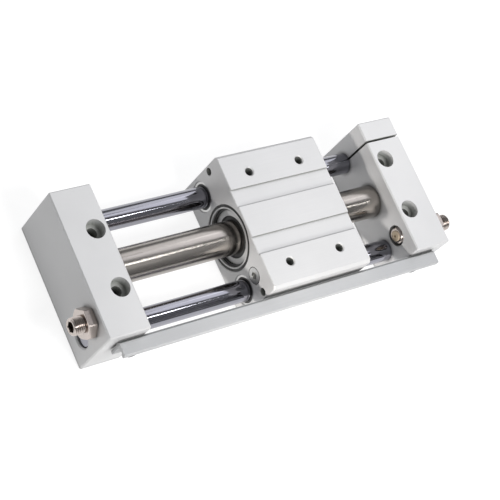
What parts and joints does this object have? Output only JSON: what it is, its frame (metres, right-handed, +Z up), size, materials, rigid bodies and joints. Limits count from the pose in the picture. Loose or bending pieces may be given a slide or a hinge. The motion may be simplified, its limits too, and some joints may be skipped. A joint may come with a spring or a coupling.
{
  "type": "rodless pneumatic cylinder",
  "caption": "Magnetically coupled rodless air cylinder: a slide table on two guide rods round a central tube between end plates, with adjustable stops and a switch rail.",
  "frame": {"origin": "centre of the four base mounting holes, on the underside of the end plates", "axes": "+X along the cylinder from the plain plate to the clamped plate, +Y towards the back, away from the switch rail, +Z up towards the table's mounting face"},
  "size_m": [0.37, 0.1324, 0.0635],
  "materials": {
    "anodised": "clear anodised, satin",
    "stainless_tube": "drawn stainless tube, finely polished along its length",
    "chromed_rod": "ground and hard chromed",
    "plated_steel": "nickel plated",
    "pad_steel": "hardened, ground",
    "black_steel": "phosphated and oiled black",
    "yoke_steel": "turned, zinc plated",
    "magnet": "nickel plated rare earth magnet",
    "bronze": "sintered bronze",
    "nitrile": "moulded nitrile rubber",
    "wear_polymer": "filled bearing polymer",
    "resin": "cast polyurethane"
  },
  "bodies": {
    "frame": {"plate_a": "anodised", "plate_b": "anodised", "cylinder_tube": "stainless_tube", "guide_rod_back": "chromed_rod", "guide_rod_front": "chromed_rod", "tube_seal_left": "nitrile", "tube_seal_right": "nitrile", "lock_nut_left": "plated_steel", "lock_nut_right": "plated_steel", "rod_set_screws": "black_steel", "switch_rail": "anodised", "rail_screws": "plated_steel", "rail_washers": "plated_steel", "rail_spacers": "plated_steel", "clamp_screw": "plated_steel"},
    "table": {"collar_ring_left": "black_steel", "collar_ring_right": "black_steel", "end_collar_left": "anodised", "end_collar_right": "anodised", "magnet_sleeve": "anodised", "outer_magnet_1": "magnet", "outer_magnet_2": "magnet", "outer_magnet_3": "magnet", "outer_magnet_4": "magnet", "outer_yokes": "yoke_steel", "rod_bush_back_left": "bronze", "rod_bush_back_right": "bronze", "rod_bush_front_left": "bronze", "rod_bush_front_right": "bronze", "sleeve_rings": "black_steel", "slide_block": "anodised", "stop_pad_left": "pad_steel", "stop_pad_right": "pad_steel", "switch_magnet": "magnet", "table_wear_ring_left": "wear_polymer", "table_wear_ring_right": "wear_polymer", "tube_scraper_left": "nitrile", "tube_scraper_right": "nitrile", "wiper_cases": "pad_steel", "wiper_lips": "nitrile"},
    "piston": {"inner_magnet_1": "magnet", "inner_magnet_2": "magnet", "inner_magnet_3": "magnet", "inner_magnet_4": "magnet", "inner_yokes": "yoke_steel", "piston_cushion_left": "resin", "piston_cushion_right": "resin", "piston_head_left": "anodised", "piston_head_right": "anodised", "piston_nut_left": "plated_steel", "piston_nut_right": "plated_steel", "piston_seal_left": "nitrile", "piston_seal_right": "nitrile", "piston_shaft": "plated_steel", "piston_wear_ring_left": "wear_polymer", "piston_wear_ring_right": "wear_polymer"},
    "stop_left": {"stop_bolt_left": "plated_steel", "stop_bumper_left": "resin"},
    "stop_right": {"stop_bolt_right": "plated_steel", "stop_bumper_right": "resin"}
  },
  "joints": [
    {"name": "table_slide", "type": "slide", "parent": "frame", "child": "table", "axis": [1, 0, 0], "range_m": [-0.1065, 0.0435]},
    {"name": "piston_slide", "type": "slide", "parent": "frame", "child": "piston", "axis": [1, 0, 0], "range_m": [-0.1065, 0.0435]},
    {"name": "stop_adjust_left", "type": "slide", "parent": "frame", "child": "stop_left", "axis": [1, 0, 0], "range_m": [-0.006, 0.0024]},
    {"name": "stop_adjust_right", "type": "slide", "parent": "frame", "child": "stop_right", "axis": [1, 0, 0], "range_m": [-0.0054, 0.006]}
  ],
  "couplings": [
    {"joint": "piston_slide", "follows": "table_slide", "ratio": 1}
  ]
}
